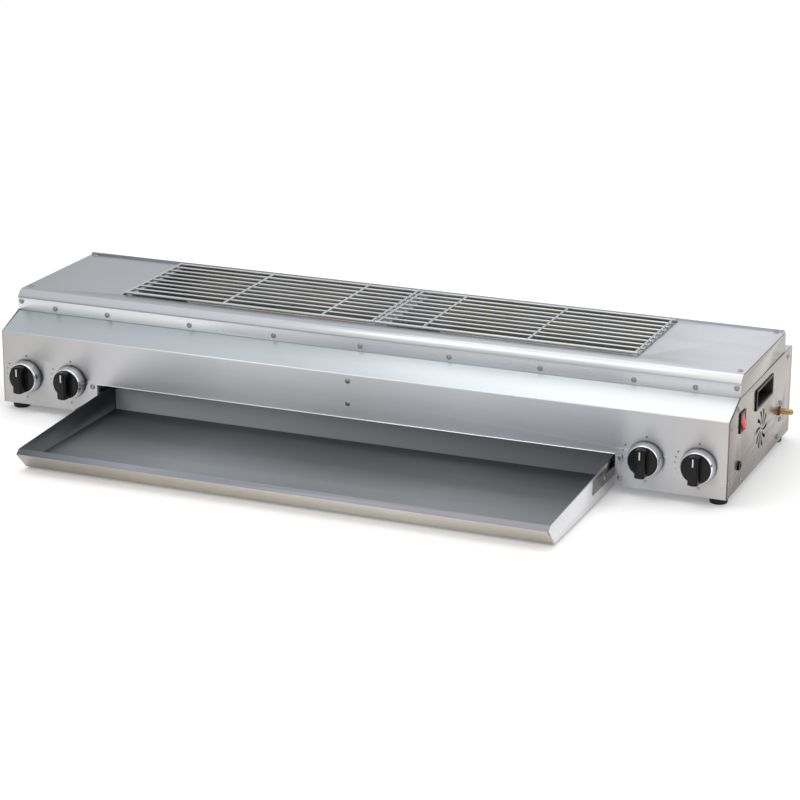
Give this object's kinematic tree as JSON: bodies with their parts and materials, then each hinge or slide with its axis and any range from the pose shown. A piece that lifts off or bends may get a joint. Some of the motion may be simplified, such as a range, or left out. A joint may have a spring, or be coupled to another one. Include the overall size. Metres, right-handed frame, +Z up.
{
  "type": "gas grill",
  "caption": "Long counter-top gas grill in brushed sheet steel with wire grates, push-and-turn knobs, a pulled-out drip tray, and a fan vent, switch and hose nozzle at the end.",
  "frame": {"origin": "middle of the casing's footprint on the counter, at the level of the feet's undersides", "axes": "+X along the casing to the end with the hose nozzle, -Y to the front with the knobs and the tray, +Z up"},
  "size_m": [1.222, 0.6263, 0.1905],
  "materials": {
    "brushed_sheet": "brushed along the length, bright",
    "inner_sheet": "mill finish, slightly dull",
    "tray_sheet": "satin, with a dark reflection of the casing",
    "burner_steel": "heat-dulled steel",
    "ceramic": "matt ceramic tile with fine holes",
    "pipe_steel": "drawn, satin",
    "brass": "turned, bright",
    "knob_black": "fine-grained black with a white pointer line",
    "chrome": "polished",
    "black_plastic": "satin black",
    "red_plastic": "glossy red, translucent",
    "foot_rubber": "matt",
    "grate_wire": "bright plated wire"
  },
  "bodies": {
    "casing": {"top_cover": "brushed_sheet", "front_panel": "brushed_sheet", "right_end_panel": "brushed_sheet", "left_end_panel": "brushed_sheet", "rear_panel": "brushed_sheet", "base_pans": "inner_sheet", "partition_left": "inner_sheet", "partition_right": "inner_sheet", "firebox_front": "inner_sheet", "firebox_rear": "inner_sheet", "grate_ledges": "inner_sheet", "centre_bar": "inner_sheet", "tray_rails": "inner_sheet", "nozzle_plate": "inner_sheet", "burner_front_left": "burner_steel", "burner_front_right": "burner_steel", "burner_rear_left": "burner_steel", "burner_rear_right": "burner_steel", "tiles_front": "ceramic", "tiles_rear": "ceramic", "guard_front": "inner_sheet", "guard_rear": "inner_sheet", "manifold": "pipe_steel", "inlet_pipe": "pipe_steel", "gas_tubes": "brass", "hose_nozzle": "brass", "gas_valve_1": "brass", "gas_valve_2": "brass", "gas_valve_3": "brass", "gas_valve_4": "brass", "bezel_1": "chrome", "bezel_2": "chrome", "bezel_3": "chrome", "bezel_4": "chrome", "rocker_frame": "black_plastic", "fan_housing": "black_plastic", "handhold_right": "black_plastic", "handhold_left": "black_plastic", "power_inlet": "black_plastic", "feet": "foot_rubber"},
    "tray": {"drip_tray": "tray_sheet", "tray_runners": "tray_sheet"},
    "push_1": {"collar_1": "pipe_steel"},
    "turn_1": {"knob_1": "knob_black", "spindle_1": "pipe_steel"},
    "push_2": {"collar_2": "pipe_steel"},
    "turn_2": {"knob_2": "knob_black", "spindle_2": "pipe_steel"},
    "push_3": {"collar_3": "pipe_steel"},
    "turn_3": {"knob_3": "knob_black", "spindle_3": "pipe_steel"},
    "push_4": {"collar_4": "pipe_steel"},
    "turn_4": {"knob_4": "knob_black", "spindle_4": "pipe_steel"},
    "rocker": {"rocker": "red_plastic"},
    "fan": {"fan_impeller": "black_plastic"},
    "grate_left": {"grate_left": "grate_wire"},
    "grate_right": {"grate_right": "grate_wire"}
  },
  "joints": [
    {"name": "tray_slide", "type": "slide", "parent": "casing", "child": "tray", "axis": [0, 1, 0], "range_m": [0, 0.262]},
    {"name": "knob_1_push", "type": "slide", "parent": "casing", "child": "push_1", "axis": [0, 1, 0], "range_m": [0, 0.003], "stiffness_N_per_m": 900, "springref_m": -0.003},
    {"name": "knob_1_turn", "type": "hinge", "parent": "push_1", "child": "turn_1", "pos_m": [-0.557, -0.1965, 0.0605], "axis": [0, -1, 0], "range_deg": [0, 180]},
    {"name": "knob_2_push", "type": "slide", "parent": "casing", "child": "push_2", "axis": [0, 1, 0], "range_m": [0, 0.003], "stiffness_N_per_m": 900, "springref_m": -0.003},
    {"name": "knob_2_turn", "type": "hinge", "parent": "push_2", "child": "turn_2", "pos_m": [-0.477, -0.1965, 0.0605], "axis": [0, -1, 0], "range_deg": [0, 180]},
    {"name": "knob_3_push", "type": "slide", "parent": "casing", "child": "push_3", "axis": [0, 1, 0], "range_m": [0, 0.003], "stiffness_N_per_m": 900, "springref_m": -0.003},
    {"name": "knob_3_turn", "type": "hinge", "parent": "push_3", "child": "turn_3", "pos_m": [0.477, -0.1965, 0.0605], "axis": [0, -1, 0], "range_deg": [0, 180]},
    {"name": "knob_4_push", "type": "slide", "parent": "casing", "child": "push_4", "axis": [0, 1, 0], "range_m": [0, 0.003], "stiffness_N_per_m": 900, "springref_m": -0.003},
    {"name": "knob_4_turn", "type": "hinge", "parent": "push_4", "child": "turn_4", "pos_m": [0.557, -0.1965, 0.0605], "axis": [0, -1, 0], "range_deg": [0, 180]},
    {"name": "rocker_tilt", "type": "hinge", "parent": "casing", "child": "rocker", "pos_m": [0.5985, -0.109, 0.113], "axis": [0, 1, 0], "range_deg": [0, 22]},
    {"name": "fan_spin", "type": "hinge", "parent": "casing", "child": "fan", "pos_m": [0.586, 0.0062, 0.067], "axis": [1, 0, 0], "continuous": true},
    {"name": "grate_left_lift", "type": "slide", "parent": "casing", "child": "grate_left", "axis": [0, 0, 1], "range_m": [0, 0.1]},
    {"name": "grate_right_lift", "type": "slide", "parent": "casing", "child": "grate_right", "axis": [0, 0, 1], "range_m": [0, 0.1]}
  ]
}
